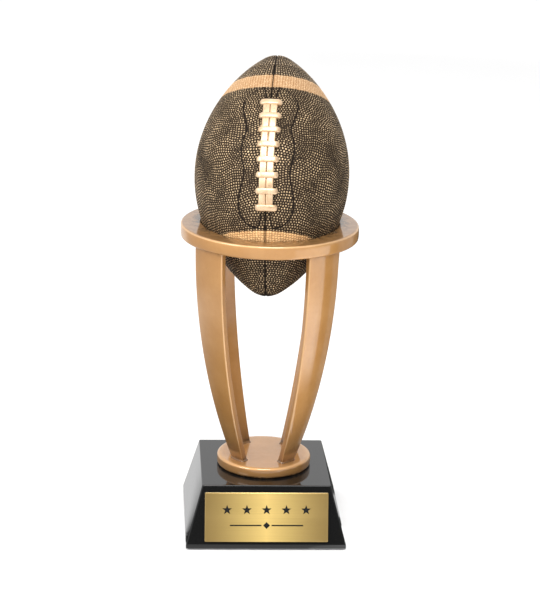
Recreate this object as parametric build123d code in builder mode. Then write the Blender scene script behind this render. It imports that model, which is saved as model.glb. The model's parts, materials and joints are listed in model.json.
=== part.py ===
"""Football trophy: a cast resin ball leaning back in a ring on four bowed legs, on a weighted tapered base.

Millimetres and degrees. +Z is up, the nameplate faces -Y, the base is square to X and Y, and the origin is at
the centre of the felt's underside. The figure (ball, ring, legs and disc) is bolted down by one central stud.
It can be turned on the base about that stud, and figure_turn is the turn that it stands at.
"""

from build123d import *

import os
from math import asin, atan2, cos, degrees, pi, radians, sin, sqrt

os.makedirs("parts", exist_ok=True)

# Whole trophy
overall_height = 299.3
figure_turn = -6.0

# Base: black tapered shell around a ballast block, on felt
base_bottom_width = 101.6
base_top_width = 81.3
base_height = 40.1
felt_thickness = 0.8
felt_inset = 2.0
plinth_height = 2.6
shell_wall = 3.0
shell_edge_radius = 0.5
ballast_gap = 0.2

# Central stud, M6, with its washer and nut in a recess under the ballast block
stud_radius = 3.0
stud_end_height = 5.0
stud_depth_in_disc = 5.0
stud_end_chamfer = 0.6
thread_gap = 0.03
shell_hole_radius = 3.3
ballast_hole_radius = 3.5
nut_recess_radius = 12.0
nut_recess_top = 15.0
washer_radius = 9.0
washer_hole_radius = 3.2
washer_thickness = 1.6
nut_width = 10.0
nut_thickness = 5.0

# Nameplate: laminate with a gold skin engraved through to its black core, taped to the sloping front
plate_width = 78.0
plate_height = 31.2
plate_below_top_edge = 4.4
tape_thickness = 0.3
core_thickness = 1.0
skin_thickness = 0.3
plate_corner_radius = 0.6
star_count = 5
star_pitch = 12.5
star_radius = 3.3
star_inner_radius = 1.35
star_row_height = 4.6
rule_height = -5.2
rule_length = 20.0
rule_width = 0.9
diamond_radius = 2.2
diamond_gap = 3.2

# Foot disc
disc_radius = 30.2
disc_thickness = 7.2
disc_edge_radius = 2.0

# Ring that the ball is seated in
ring_radius = 56.1
ring_thickness = 8.7
ring_top = 201.1
ring_edge_radius = 1.2
glue_gap = 0.15

# Legs: strips of a bowed shell of revolution, tenoned into the disc and the ring
leg_azimuths = {"front_left": -135, "front_right": -45, "rear_left": 135, "rear_right": 45}
leg_top_radius = 52.2
leg_bow_radius = 382.0
leg_thickness = 4.6
leg_arc = 28.0
leg_edge_radius = 0.9
tenon_thickness = 2.6
tenon_width = 9.0
tenon_depth = 4.5
tenon_gap = 0.1

# Ball: radius = ball_radius * (1 - (s / ball_half_length)^2) ^ ball_fullness at a distance s along its axis
ball_half_length = 80.2
ball_radius = 48.7
ball_fullness = 0.778
ball_wall = 4.0
ball_tip_wall = 7.0
ball_lean = 30.3
ball_spin = -1.5
ball_set_back = 10.7

# Lacing: two strands up the front of the ball, with cross bars over them
strand_width = 4.2
strand_groove = 1.2
strand_height = 1.6
strand_edge_radius = 0.7
bar_count = 8
bar_span = 67.0
bar_length = 15.7
bar_width = 3.4
bar_height = 2.5
bar_end_radius = 1.5
bar_edge_radius = 0.9
strand_overrun = 2.2
lace_root = 5.0

# Places that follow from the dimensions
shell_bottom = felt_thickness
slope_bottom = shell_bottom + plinth_height
slope_run = (base_bottom_width - base_top_width) / 2
slope_rise = base_height - slope_bottom
slope_angle = degrees(atan2(slope_run, slope_rise))
inner_top_height = base_height - shell_wall
inner_shrink = 2 * shell_wall / cos(radians(slope_angle))
washer_bottom = nut_recess_top - washer_thickness
stud_top = base_height + stud_depth_in_disc
disc_top = base_height + disc_thickness
ring_bottom = ring_top - ring_thickness
strand_reach = bar_span / 2 + strand_overrun


def ball_radius_at(distance):
    """The ball's radius at a distance along its axis from its middle."""
    share = min(1.0, abs(distance) / ball_half_length)
    return ball_radius * (1 - share**2) ** ball_fullness


def ball_slope_at(distance):
    """How fast the ball's radius grows with the distance along its axis."""
    share = distance / ball_half_length
    return -2 * ball_fullness * ball_radius / ball_half_length * share * (1 - share**2) ** (ball_fullness - 1)


def ball_rise():
    """How far the leaning ball's highest point stands above its centre."""
    lean = radians(ball_lean)
    distances = [ball_half_length * k / 400 for k in range(401)]
    return max(s * cos(lean) + ball_radius_at(s) * sin(lean) for s in distances)


figure_x = (cos(radians(figure_turn)), sin(radians(figure_turn)), 0)
figure_plane = Plane((0, 0, 0), x_dir=figure_x, z_dir=(0, 0, 1))
ball_centre = figure_plane.from_local_coords(Vector(0, ball_set_back, overall_height - ball_rise()))
ball_plane = Plane(ball_centre, x_dir=figure_plane.x_dir, z_dir=(0, 0, 1))
ball_plane = ball_plane.rotated((-ball_lean, 0, 0)).rotated((0, 0, ball_spin))
ball_axis = Axis(ball_centre, ball_plane.z_dir)
ball_front = -ball_plane.y_dir
meridian_plane = Plane(ball_centre, x_dir=ball_front, z_dir=-ball_plane.x_dir)


def ball_profile(half_length, radius):
    """Half of the ball's outline, in the plane of its front meridian, closed along its axis."""
    stations = [radians(t) for t in range(-90, 91, 10)]
    outline = [(radius * max(0.0, cos(t)) ** (2 * ball_fullness), half_length * sin(t)) for t in stations]
    outline[0] = (0, -half_length)
    outline[-1] = (0, half_length)
    with BuildSketch(meridian_plane) as profile:
        with BuildLine():
            Spline(*outline)
            Line(outline[-1], outline[0])
        make_face()
    return profile.sketch


def radial_plane(azimuth):
    """The upright plane through the Z axis whose local x runs outward at this azimuth of the figure."""
    turn = radians(azimuth + figure_turn)
    return Plane((0, 0, 0), x_dir=(cos(turn), sin(turn), 0), z_dir=(sin(turn), -cos(turn), 0))


def leg_radius_at(height, depth=0.0):
    """The leg's distance from the Z axis at a height, at a depth under its outer face."""
    bow = leg_bow_radius - depth
    return leg_top_radius - leg_bow_radius + sqrt(bow**2 - (ring_bottom - height) ** 2)


def leg_profile(azimuth):
    """The leg's section through the Z axis, which a turn about that axis makes into the leg."""
    middle = (disc_top + ring_bottom) / 2
    heights = (disc_top, middle, ring_bottom)
    outer = [(leg_radius_at(h), h) for h in heights]
    inner = [(leg_radius_at(h, leg_thickness), h) for h in heights]
    with BuildSketch(radial_plane(azimuth - leg_arc / 2)) as profile:
        with BuildLine():
            ThreePointArc(*outer)
            Line(outer[-1], inner[-1])
            ThreePointArc(*reversed(inner))
            Line(inner[0], outer[0])
        make_face()
    return profile.sketch


def tenon_arc(radius, gap=0.0):
    """The angle that a tenon spans at its radius."""
    return 2 * degrees(asin((tenon_width / 2 + gap) / radius))


def tenon_profile(azimuth, top, gap=0.0):
    """The section of a leg's tenon into the ring (top) or the disc, or of its mortise when it has a gap."""
    joint_height = ring_bottom if top else disc_top
    radius = (leg_radius_at(joint_height) + leg_radius_at(joint_height, leg_thickness)) / 2
    end = joint_height + (tenon_depth + gap if top else -tenon_depth - gap)
    with BuildSketch(radial_plane(azimuth - tenon_arc(radius, gap) / 2)) as profile:
        with Locations((radius, (joint_height + end) / 2)):
            Rectangle(tenon_thickness + 2 * gap, abs(end - joint_height))
    return profile.sketch, tenon_arc(radius, gap)


def tapered_block(bottom_width, bottom_height, top_width, top_height):
    """The two square sections, bottom and top, that a loft joins."""
    with BuildSketch(Plane.XY.offset(bottom_height)) as bottom:
        Rectangle(bottom_width, bottom_width)
    with BuildSketch(Plane.XY.offset(top_height)) as top:
        Rectangle(top_width, top_width)
    return [bottom.sketch, top.sketch]


def finish_part(builder, label):
    """Labels a finished sub-part and writes its STEP file."""
    builder.part.label = label
    export_step(builder.part, f"parts/{label}.step")


# ---------------------------------------------------------------- base

with BuildPart() as felt_pad:
    with BuildSketch():
        Rectangle(base_bottom_width - 2 * felt_inset, base_bottom_width - 2 * felt_inset)
    extrude(amount=felt_thickness)
finish_part(felt_pad, "felt_pad")


def outer_width_at(height):
    """The shell's outer width at a height on its slope."""
    return base_bottom_width - 2 * slope_run * (height - slope_bottom) / slope_rise


with BuildPart() as base_shell:
    with BuildSketch(Plane.XY.offset(shell_bottom)):
        Rectangle(base_bottom_width, base_bottom_width)
    extrude(amount=plinth_height)
    loft(tapered_block(base_bottom_width, slope_bottom, base_top_width, base_height))
    fillet(base_shell.edges().filter_by(lambda e: e.center().Z > slope_bottom + 1), shell_edge_radius)
    cavity = tapered_block(
        outer_width_at(shell_bottom) - inner_shrink,
        shell_bottom,
        outer_width_at(inner_top_height) - inner_shrink,
        inner_top_height,
    )
    loft(cavity, mode=Mode.SUBTRACT)
    with Locations((0, 0, base_height)):
        Hole(shell_hole_radius)
finish_part(base_shell, "base_shell")

with BuildPart() as base_weight:
    loft(
        tapered_block(
            outer_width_at(shell_bottom) - inner_shrink - 2 * ballast_gap,
            shell_bottom,
            outer_width_at(inner_top_height) - inner_shrink - 2 * ballast_gap,
            inner_top_height,
        )
    )
    with Locations((0, 0, inner_top_height)):
        Hole(ballast_hole_radius)
    with BuildSketch(Plane.XY.offset(shell_bottom)):
        Circle(nut_recess_radius)
    extrude(amount=nut_recess_top - shell_bottom, mode=Mode.SUBTRACT)
finish_part(base_weight, "base_weight")

slope_top_edge = Vector(0, -base_top_width / 2, base_height)
slope_down = Vector(0, -sin(radians(slope_angle)), -cos(radians(slope_angle)))
slope_out = Vector(0, -cos(radians(slope_angle)), sin(radians(slope_angle)))
plate_centre = slope_top_edge + slope_down * (plate_below_top_edge + plate_height / 2)
plate_plane = Plane(plate_centre, x_dir=(1, 0, 0), z_dir=slope_out)


def star_points():
    """The ten corners of one five-pointed star, its first point up."""
    corners = []
    for k in range(10):
        reach = star_radius if k % 2 == 0 else star_inner_radius
        corners.append((reach * sin(k * pi / 5), reach * cos(k * pi / 5)))
    return corners


with BuildPart() as nameplate_tape:
    with BuildSketch(plate_plane):
        RectangleRounded(plate_width, plate_height, plate_corner_radius)
    extrude(amount=tape_thickness)
finish_part(nameplate_tape, "nameplate_tape")

with BuildPart() as nameplate_core:
    with BuildSketch(plate_plane.offset(tape_thickness)):
        RectangleRounded(plate_width, plate_height, plate_corner_radius)
    extrude(amount=core_thickness)
finish_part(nameplate_core, "nameplate_core")

with BuildPart() as nameplate_face:
    with BuildSketch(plate_plane.offset(tape_thickness + core_thickness)):
        RectangleRounded(plate_width, plate_height, plate_corner_radius)
        with Locations((0, star_row_height)):
            with GridLocations(star_pitch, 0, star_count, 1):
                Polygon(*star_points(), align=None, mode=Mode.SUBTRACT)
        with Locations((0, rule_height)):
            RegularPolygon(diamond_radius, 4, mode=Mode.SUBTRACT)
            for side in (-1, 1):
                with Locations((side * (diamond_gap + rule_length / 2), 0)):
                    Rectangle(rule_length, rule_width, mode=Mode.SUBTRACT)
    extrude(amount=skin_thickness)
finish_part(nameplate_face, "nameplate_face")

# ---------------------------------------------------------------- stud, washer and nut

with BuildPart() as threaded_rod:
    with BuildSketch(Plane.XY.offset(stud_end_height)):
        Circle(stud_radius)
    extrude(amount=stud_top - stud_end_height)
    chamfer(threaded_rod.edges().sort_by(Axis.Z)[0], stud_end_chamfer)
finish_part(threaded_rod, "threaded_rod")

with BuildPart() as washer:
    with BuildSketch(Plane.XY.offset(washer_bottom)):
        Circle(washer_radius)
        Circle(washer_hole_radius, mode=Mode.SUBTRACT)
    extrude(amount=washer_thickness)
finish_part(washer, "washer")

with BuildPart() as hex_nut:
    with BuildSketch(Plane.XY.offset(washer_bottom - nut_thickness)):
        RegularPolygon(nut_width / 2, 6, major_radius=False)
        Circle(stud_radius + thread_gap, mode=Mode.SUBTRACT)
    extrude(amount=nut_thickness)
finish_part(hex_nut, "hex_nut")

# ---------------------------------------------------------------- disc, legs and ring

with BuildPart() as foot_disc:
    with BuildSketch(Plane.XY.offset(base_height)):
        Circle(disc_radius)
    extrude(amount=disc_thickness)
    fillet(foot_disc.edges().sort_by(Axis.Z)[-1], disc_edge_radius)
    fillet(foot_disc.edges().sort_by(Axis.Z)[0], disc_edge_radius / 2)
    with BuildSketch(Plane.XY.offset(base_height)):
        Circle(stud_radius + thread_gap)
    extrude(amount=stud_depth_in_disc + thread_gap, mode=Mode.SUBTRACT)
    for azimuth in leg_azimuths.values():
        mortise, arc = tenon_profile(azimuth, top=False, gap=tenon_gap)
        revolve(mortise, axis=Axis.Z, revolution_arc=arc, mode=Mode.SUBTRACT)
finish_part(foot_disc, "foot_disc")

for corner, azimuth in leg_azimuths.items():
    with BuildPart() as leg:
        revolve(leg_profile(azimuth), axis=Axis.Z, revolution_arc=leg_arc)
        long_edges = leg.edges().filter_by(lambda e: e.length > (ring_bottom - disc_top) / 2)
        fillet(long_edges, leg_edge_radius)
        for top in (False, True):
            tenon, arc = tenon_profile(azimuth, top)
            revolve(tenon, axis=Axis.Z, revolution_arc=arc)
    finish_part(leg, f"leg_{corner}")

with BuildPart() as seat_ring:
    with BuildSketch(Plane.XY.offset(ring_bottom)):
        Circle(ring_radius)
    extrude(amount=ring_thickness)
    fillet(seat_ring.edges(), ring_edge_radius)
    seat = ball_profile(ball_half_length + glue_gap, ball_radius + glue_gap)
    revolve(seat, axis=ball_axis, mode=Mode.SUBTRACT)
    for azimuth in leg_azimuths.values():
        mortise, arc = tenon_profile(azimuth, top=True, gap=tenon_gap)
        revolve(mortise, axis=Axis.Z, revolution_arc=arc, mode=Mode.SUBTRACT)
finish_part(seat_ring, "seat_ring")

# ---------------------------------------------------------------- ball

with BuildPart() as ball_right_half:
    revolve(ball_profile(ball_half_length, ball_radius), axis=ball_axis, revolution_arc=180)
    hollow = ball_profile(ball_half_length - ball_tip_wall, ball_radius - ball_wall)
    revolve(hollow, axis=ball_axis, revolution_arc=180, mode=Mode.SUBTRACT)
finish_part(ball_right_half, "ball_right_half")

with BuildPart() as ball_left_half:
    mirror(ball_right_half.part, about=meridian_plane)
finish_part(ball_left_half, "ball_left_half")

# The ball's whole outer form, which the lacing is cut to.
with BuildPart() as ball_form:
    revolve(ball_profile(ball_half_length, ball_radius), axis=ball_axis)

# ---------------------------------------------------------------- lacing


def strand_profile(side_plane):
    """A strand's outline from the side: it follows the ball's front meridian at strand_height above it."""
    stations = [strand_reach * k / 4 for k in range(-4, 5)]
    crest = [(ball_radius_at(s) + strand_height, s) for s in stations]
    root = ball_radius_at(strand_reach) - lace_root
    with BuildSketch(side_plane) as profile:
        with BuildLine():
            Spline(*crest)
            Polyline(crest[-1], (root, strand_reach), (root, -strand_reach), crest[0])
        make_face()
    return profile.sketch


strands = {}
for name, side in (("left", 1), ("right", -1)):
    near = side * strand_groove / 2
    with BuildPart() as strand:
        extrude(strand_profile(meridian_plane.offset(near)), amount=side * strand_width)
        crest_face = strand.faces().sort_by(Axis(ball_centre, ball_front))[-1]
        fillet(crest_face.edges(), strand_edge_radius)
        add(ball_form.part, mode=Mode.SUBTRACT)
    strands[name] = strand.part
    finish_part(strand, f"lace_strand_{name}")

for k in range(bar_count):
    station = bar_span * (1 / 2 - k / (bar_count - 1))
    foot_point = ball_centre + ball_plane.z_dir * station + ball_front * ball_radius_at(station)
    outward = (ball_front - ball_plane.z_dir * ball_slope_at(station)).normalized()
    bar_plane = Plane(foot_point, x_dir=ball_plane.x_dir, z_dir=outward)
    with BuildPart() as lace_bar:
        with BuildSketch(bar_plane.offset(-lace_root / 2)):
            RectangleRounded(bar_length, bar_width, bar_end_radius)
        extrude(amount=lace_root / 2 + bar_height)
        crest_face = lace_bar.faces().sort_by(Axis(foot_point, outward))[-1]
        fillet(crest_face.edges(), bar_edge_radius)
        add(ball_form.part, mode=Mode.SUBTRACT)
        add(strands["left"], mode=Mode.SUBTRACT)
        add(strands["right"], mode=Mode.SUBTRACT)
    finish_part(lace_bar, f"lace_bar_{k + 1}")
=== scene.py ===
"""The looks of the football trophy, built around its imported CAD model.

Blender works in metres. Shapes are worked out in mm in the CAD's own frame, and piece() scales them. +Z is
up, and the nameplate faces -Y. The ball has a frame of its own: s runs along its axis from its middle to its
upper tip, and angles run round it from its front, in radians to the right.
"""

import json
from math import cos, pi, radians, sin, sqrt, tan

import bmesh
import bpy
import numpy as np
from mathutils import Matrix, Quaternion, Vector, kdtree
from mathutils.geometry import tessellate_polygon


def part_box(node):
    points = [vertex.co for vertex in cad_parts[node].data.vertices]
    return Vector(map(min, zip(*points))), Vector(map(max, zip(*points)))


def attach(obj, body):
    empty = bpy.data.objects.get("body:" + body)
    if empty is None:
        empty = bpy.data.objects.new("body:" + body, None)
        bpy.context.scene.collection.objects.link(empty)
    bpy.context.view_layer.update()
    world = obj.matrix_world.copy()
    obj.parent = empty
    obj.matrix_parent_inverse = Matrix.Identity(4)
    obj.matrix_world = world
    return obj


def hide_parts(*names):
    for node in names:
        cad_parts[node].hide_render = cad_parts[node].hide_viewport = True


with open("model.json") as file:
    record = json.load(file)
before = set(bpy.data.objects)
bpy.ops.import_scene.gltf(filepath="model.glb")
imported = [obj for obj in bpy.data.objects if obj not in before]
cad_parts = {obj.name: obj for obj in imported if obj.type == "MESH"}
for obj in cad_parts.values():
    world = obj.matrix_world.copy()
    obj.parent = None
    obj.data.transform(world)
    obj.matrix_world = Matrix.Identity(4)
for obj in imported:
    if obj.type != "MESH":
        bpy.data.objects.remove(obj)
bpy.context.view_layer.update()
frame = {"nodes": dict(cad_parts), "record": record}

MM = 0.001
random = np.random.default_rng(7)

# ---- driving values, in mm and degrees

# The ball, whose reach is half its length
FIGURE_TURN = -6.0
BALL_REACH = 80.2
BALL_RADIUS = 48.7
BALL_FULLNESS = 0.778
BALL_WALL = 4.0
BALL_TIP_WALL = 7.0
BALL_LEAN = 30.3
BALL_SPIN = -1.5
BALL_SET_BACK = 10.7
TIP_BLUNTING = 1.1
TIP_LENGTH = 4.5
GLUE_GAP = 0.15

# Its leather. A tone is how much gold a pebble's top has, and 1 is all of it. On the stripes, tones also
# carry painted light.
MESH_PITCH = 0.47
INNER_ROWS = 60
INNER_COLUMNS = 24
PEBBLE_PITCH = 1.74
PEBBLE_ROW_PITCH = 1.5
PEBBLE_JITTER = 0.16
PEBBLE_HEIGHT = 0.42
PEBBLE_SLOPE = 0.78
PEBBLE_TONES = (0.4, 1.0)
# The waves of the rows: height, number round the ball, turn in radians for each mm of s, and first turn
ROW_WAVES = ((1.7, 4, 0.0, 0.6), (1.1, 9, 1 / 10, 0.0), (0.7, 15, -1 / 6, 0.0))
PEBBLE_SWAY = 0.030
STRIPE_START = 46.6
STRIPE_END = 56.3
# Painted light: how much brighter the lower stripe and darker the upper stripe are painted
STRIPE_PAINTED_LIGHT = {"lower": 1.35, "upper": 0.70}
STRIPE_LEAST_TONE = 0.25
STREAK_START = STRIPE_END
STREAK_PITCH = 1.55
STREAK_ROW_PITCH = 2.6
STREAK_JITTER = 0.4
STREAK_TONE = 0.65
# Up to each s, the rows over the top stripe have as many pebbles as a row at the second s, and line up.
STREAK_BANDS = ((66.0, 60.0), (75.0, 70.0))
SEAM_DEPTH = 0.55
SEAM_HALF_WIDTH = 0.52
LONG_SEAM_HALF_WIDTH = 0.598
# Half of the lace pad's outline, from foot to top, and its flares, as (half width, s)
PAD_SIDE = [
    (4.2, -44.6), (6.4, -44.5), (11.4, -42.5), (16.0, -37.0), (17.5, -30.0), (16.2, -22.0), (14.3, -13.0),
    (15.2, -7.0), (16.6, 0.0), (16.0, 8.0), (13.8, 15.0), (15.4, 22.0), (17.4, 30.0), (17.0, 35.5),
]
PAD_TOP = [(17.0, 35.5), (13.5, 40.5), (9.0, 43.6), (5.2, 45.4)]
FLARE_FOOT = [(4.6, -44.6), (3.4, -41.2), (2.6, -36.5)]
FLARE_TOP = [(5.0, 46.0), (3.6, 41.0), (3.0, 36.5)]
# Each seam line with its share of the depth, and how far to the side and along s they reach
SEAM_LINES = ((PAD_SIDE, 1.0), (PAD_TOP, 0.3), (FLARE_FOOT, 1.0), (FLARE_TOP, 0.9))
SEAM_REACH = (22, 50)

# Lacing. A pinch or an end is the share of the width or height that is left there.
LACE_ROOT = 1.2
STRAND_INNER = 0.05
STRAND_OUTER = 4.35
STRAND_HEIGHT = 1.7
STRAND_OVERRUN = 2.2
STRAND_ROWS = 241
STRAND_END = 1.2
STRAND_PINCH = {"width": 0.95, "height": 0.74}
STRAND_SQUARENESS = 0.42
STRAND_HOLLOW = 0.16
STRAND_HOLLOW_WIDTH = 0.55
BAR_COUNT = 8
BAR_ROWS = 49
BAR_SPAN = 66.4
BAR_LENGTH = 13.6
BAR_SHIFT = 0.4
BAR_WIDTH = 3.8
BAR_HEIGHT = 2.6
BAR_SQUARENESS = 0.45
BAR_END = {"width": 0.25, "height": 0.35}
BAR_DROP = 0.34
BAR_DROP_START = 0.6
BAR_DROP_LENGTH = 3.2

# Ring, legs and disc
RING_STEPS = 720
RING_EDGE_RADIUS = 1.2
RING_BULGE = 0.3
SEAT_DROP = 0.3
# How far from the seat the ring's umber reaches: partly wash, partly painted shade
SEAT_WASH_AND_SHADE_WIDTH = 9.0
LEG_AZIMUTHS = {"front_left": -135, "front_right": -45, "rear_left": 135, "rear_right": 45}
LEG_TOP_RADIUS = 52.2
LEG_BOW_RADIUS = 382.0
LEG_THICKNESS = 4.6
LEG_ARC = 28.0
LEG_EDGE_RADIUS = 0.8
LEG_SIDE_STEPS = (12, 4, 12, 4)
LEG_ROWS = 80
LEG_BURY = 0.3
# Painted shade that darkens the legs towards their feet, and the height over which it fades
LEG_PAINTED_SHADE = 0.92
LEG_PAINTED_SHADE_HEIGHT = 18.0
FOOT_HEIGHT = 3.2
FOOT_FLARE = 1.2
FOOT_FLARE_LIMIT = 0.75
BEAD_HEIGHT = 0.55
BEAD_SIZE = 0.30
BEAD_SPREAD = 0.34
DISC_EDGE_RADIUS = 1.9
DISC_STEPS = 360

# Stud, felt and base
THREAD_PITCH = 1.0
THREAD_DEPTH = 0.45
THREAD_GAP = 0.03
THREAD_TAPER = 0.6
THREAD_STEPS = 36
FELT_STEPS = 97
FELT_INSET = 0.06
FELT_CUT_SLANT = 0.10
FELT_CUT_FUZZ = 0.05
FELT_FACE_FUZZ = (0.03, -0.02)
SHELL_EDGE = 0.6
SHELL_CORNER = 0.7
SHELL_TOP_WIDTH = 81.3
SHELL_SLOPE_SHARES = (0.012, 0.03, 0.97)
SHELL_WALL = 3.0
SHELL_LEVEL_WALL = 3.3
SHELL_HOLE = 3.3
PLINTH_HEIGHT = 2.6

# Nameplate
PLATE_SKIN = 0.3
PLATE_BEVEL = 0.5
PLATE_BEVEL_DROP = 0.18
PLATE_CORNER = 0.6
STAR_COUNT = 5
STAR_PITCH = 12.5
STAR_RADIUS = 3.3
STAR_INNER_RADIUS = 1.35
STAR_ROW = 4.6
RULE_ROW = -5.2
RULE_LENGTH = 20.0
RULE_WIDTH = 0.9
DIAMOND_RADIUS = 2.2
DIAMOND_GAP = 3.2


def mm_box(node):
    """A CAD node's two corners, in mm."""
    low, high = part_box(node)
    return np.array(low) / MM, np.array(high) / MM


# ---- meshes

CORNERS = ((1, 1), (-1, 1), (-1, -1), (1, -1))


def smooth_step(values):
    """0 below 0, 1 above 1, an S between."""
    clipped = np.clip(values, 0, 1)
    return clipped * clipped * (3 - 2 * clipped)


def bell(values, middle, width):
    """1 in the middle, and falling to 0 on both sides."""
    return np.exp(-(((values - middle) / width) ** 2))


def placed(name, data):
    """A scene object that holds a mesh, light or camera."""
    made = bpy.data.objects.new(name, data)
    bpy.context.scene.collection.objects.link(made)
    return made


def add_attribute(mesh, name, values):
    """Gives a mesh's points values that a material can read."""
    mesh.attributes.new(name, "FLOAT", "POINT").data.foreach_set("value", np.asarray(values, np.float32))


def new_mesh(name, points, faces, finish):
    """A mesh from points in metres, with its material."""
    mesh = bpy.data.meshes.new(name)
    mesh.from_pydata(points, [], faces)
    mesh.materials.append(finish)
    return mesh


def piece(name, node, points, faces, finish, body, attributes=None, smooth=True, weld=False):
    """A mesh from points in mm that rides on a body and stands for a CAD node."""
    mesh = new_mesh(name, (np.asarray(points) * MM).tolist(), faces, finish)
    for key, values in (attributes or {}).items():
        add_attribute(mesh, key, values)
    work = bmesh.new()
    work.from_mesh(mesh)
    if weld:
        bmesh.ops.remove_doubles(work, verts=work.verts, dist=1e-7)
    bmesh.ops.recalc_face_normals(work, faces=work.faces)
    work.to_mesh(mesh)
    work.free()
    mesh.polygons.foreach_set("use_smooth", [smooth] * len(mesh.polygons))
    made = placed(name, mesh)
    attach(made, body)
    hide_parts(node)
    return made


def grid_faces(rows, columns, close_rows=False, close_columns=False):
    """The quads of a grid numbered row by row."""
    numbers = np.arange(rows * columns).reshape(rows, columns)
    n = np.pad(numbers, ((0, int(close_rows)), (0, int(close_columns))), "wrap")
    quads = np.stack([n[:-1, :-1], n[:-1, 1:], n[1:, 1:], n[1:, :-1]], -1)
    return [tuple(quad) for quad in quads.reshape(-1, 4).tolist()]


def capped_grid(rows, columns):
    """The faces of a tube of closed rings, with an n-gon at each end."""
    faces = grid_faces(rows, columns, close_columns=True)
    faces.append(tuple(range(columns)))
    faces.append(tuple(range((rows - 1) * columns, rows * columns))[::-1])
    return faces


def stitch(row_a, row_b):
    """The triangles between two rows of point numbers, whatever their lengths."""
    count_a, count_b = len(row_a) - 1, len(row_b) - 1
    steps_a = (np.arange(count_a) + 0.5) / max(count_a, 1)
    steps_b = (np.arange(count_b) + 0.5) / max(count_b, 1)
    across_b = row_b[np.searchsorted(steps_b, steps_a)]
    across_a = row_a[np.searchsorted(steps_a, steps_b, side="right")]
    from_a = np.stack([row_a[:-1], row_a[1:], across_b], 1)
    from_b = np.stack([row_b[1:], row_b[:-1], across_a], 1)
    return np.concatenate([from_a, from_b])


def polar(radius, turns, height):
    """Points about the upright axis: how far out, turns in radians from the right, and how high."""
    radius, turns, height = np.broadcast_arrays(radius, turns, height)
    return np.stack([radius * np.cos(turns), radius * np.sin(turns), height], -1)


def arc(centre, radius, start, end, steps):
    """Points on an arc from start to end degrees, both included."""
    turns = np.radians(np.linspace(start, end, steps + 1))
    return [(centre[0] + radius * np.cos(t), centre[1] + radius * np.sin(t)) for t in turns]


def curve_through(points):
    """A smooth line through 2-D points (Catmull-Rom), in eight runs from each to the next."""
    points = np.array(points, float)
    padded = np.vstack([2 * points[0] - points[1], points, 2 * points[-1] - points[-2]])
    line = []
    for k in range(len(points) - 1):
        a, b, c, d = padded[k : k + 4]
        for t in np.arange(8) / 8:
            bend, twist = 2 * a - 5 * b + 4 * c - d, 3 * b - a - 3 * c + d
            line.append(0.5 * (2 * b + (c - a) * t + bend * t**2 + twist * t**3))
    return np.array(line + [points[-1]])


def distance_to_line(points, line):
    """How far each 2-D point is from a line of short straight runs."""
    nearest = np.full(len(points), np.inf)
    for start, end in zip(line[:-1], line[1:]):
        along = end - start
        share = np.clip((points - start) @ along / (along @ along), 0, 1)
        nearest = np.minimum(nearest, np.linalg.norm(points - start - share[:, None] * along, axis=1))
    return nearest


# ---- material nodes


def material(look, **sockets):
    """A material whose Principled shader has even values or a look's outputs on its sockets."""
    made = bpy.data.materials.new(look.__name__)
    made.use_nodes = True
    tree = made.node_tree
    even = {socket.replace("_", " "): value for socket, value in sockets.items()}
    plug(tree, tree.nodes["Principled BSDF"], even | look(tree))
    return made


def bare_tree(owner):
    """The node tree of a world or material, with nothing in it yet."""
    owner.use_nodes = True
    owner.node_tree.nodes.clear()
    return owner.node_tree


def plug(tree, node, inputs):
    """Links a node's inputs to other nodes' outputs, or sets them to values."""
    for key, value in inputs.items():
        if isinstance(value, bpy.types.NodeSocket):
            tree.links.new(value, node.inputs[key])
        else:
            node.inputs[key].default_value = value


def add(tree, kind, inputs=None, **properties):
    """A node with its properties and inputs."""
    made = tree.nodes.new("ShaderNode" + kind)
    for key, value in properties.items():
        setattr(made, key, value)
    plug(tree, made, inputs or {})
    return made


def place(tree, scale=(1, 1, 1)):
    """The piece's own coordinates in metres, scaled."""
    inputs = {"Vector": add(tree, "TexCoord").outputs["Object"], "Scale": scale}
    return add(tree, "Mapping", inputs).outputs["Vector"]


def noise(tree, scale, detail=3.0, roughness=0.5, stretch=(1, 1, 1)):
    """Noise from 0 to 1, with scale in waves per metre."""
    inputs = {"Vector": place(tree, stretch), "Scale": scale, "Detail": detail, "Roughness": roughness}
    return add(tree, "TexNoise", inputs).outputs["Fac"]


def cells(tree, scale, output):
    """A pattern with scale cells per metre: their Distance from the middle, or a Color each."""
    return add(tree, "TexVoronoi", {"Vector": place(tree), "Scale": scale}).outputs[output]


def span(tree, value, low, high, to_low=0.0, to_high=1.0):
    """A value's range from low to high moved to another range, and clamped to it."""
    inputs = {"Value": value, "From Min": low, "From Max": high, "To Min": to_low, "To Max": to_high}
    return add(tree, "MapRange", inputs).outputs["Result"]


def times(tree, a, b):
    """The product of two values."""
    return add(tree, "Math", {0: a, 1: b}, operation="MULTIPLY").outputs[0]


def plus(tree, a, b):
    """The sum of two values."""
    return add(tree, "Math", {0: a, 1: b}, operation="ADD").outputs[0]


def mixed(tree, share, colour_a, colour_b):
    """Two colours mixed by share. Each is a socket or three linear values."""
    colours = [c if isinstance(c, bpy.types.NodeSocket) else (*c, 1.0) for c in (colour_a, colour_b)]
    return add(tree, "Mix", {0: share, 6: colours[0], 7: colours[1]}, data_type="RGBA").outputs[2]


def attribute(tree, name):
    """A mesh attribute's value."""
    return add(tree, "Attribute", attribute_name=name).outputs["Fac"]


def surface(tree, colour, roughness, height, distance_mm):
    """A look's outputs, with the normals of a surface that is raised by height times a distance."""
    normal = add(tree, "Bump", {"Height": height, "Distance": distance_mm * MM}).outputs["Normal"]
    return {"Base Color": colour, "Roughness": roughness, "Normal": normal}


# Painted highlight for edges
GOLD_PAINTED_HIGHLIGHT = (0.86, 0.58, 0.30)
GOLD_LIGHT = (0.69, 0.40, 0.155)
GOLD_BODY = (0.545, 0.280, 0.085)
# Painted shade
GOLD_PAINTED_SHADE = (0.20, 0.095, 0.028)
# Umber: partly wash and partly painted shade, and the colour of dirt specks
GOLD_WASH_AND_SHADE = (0.07, 0.038, 0.018)


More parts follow.
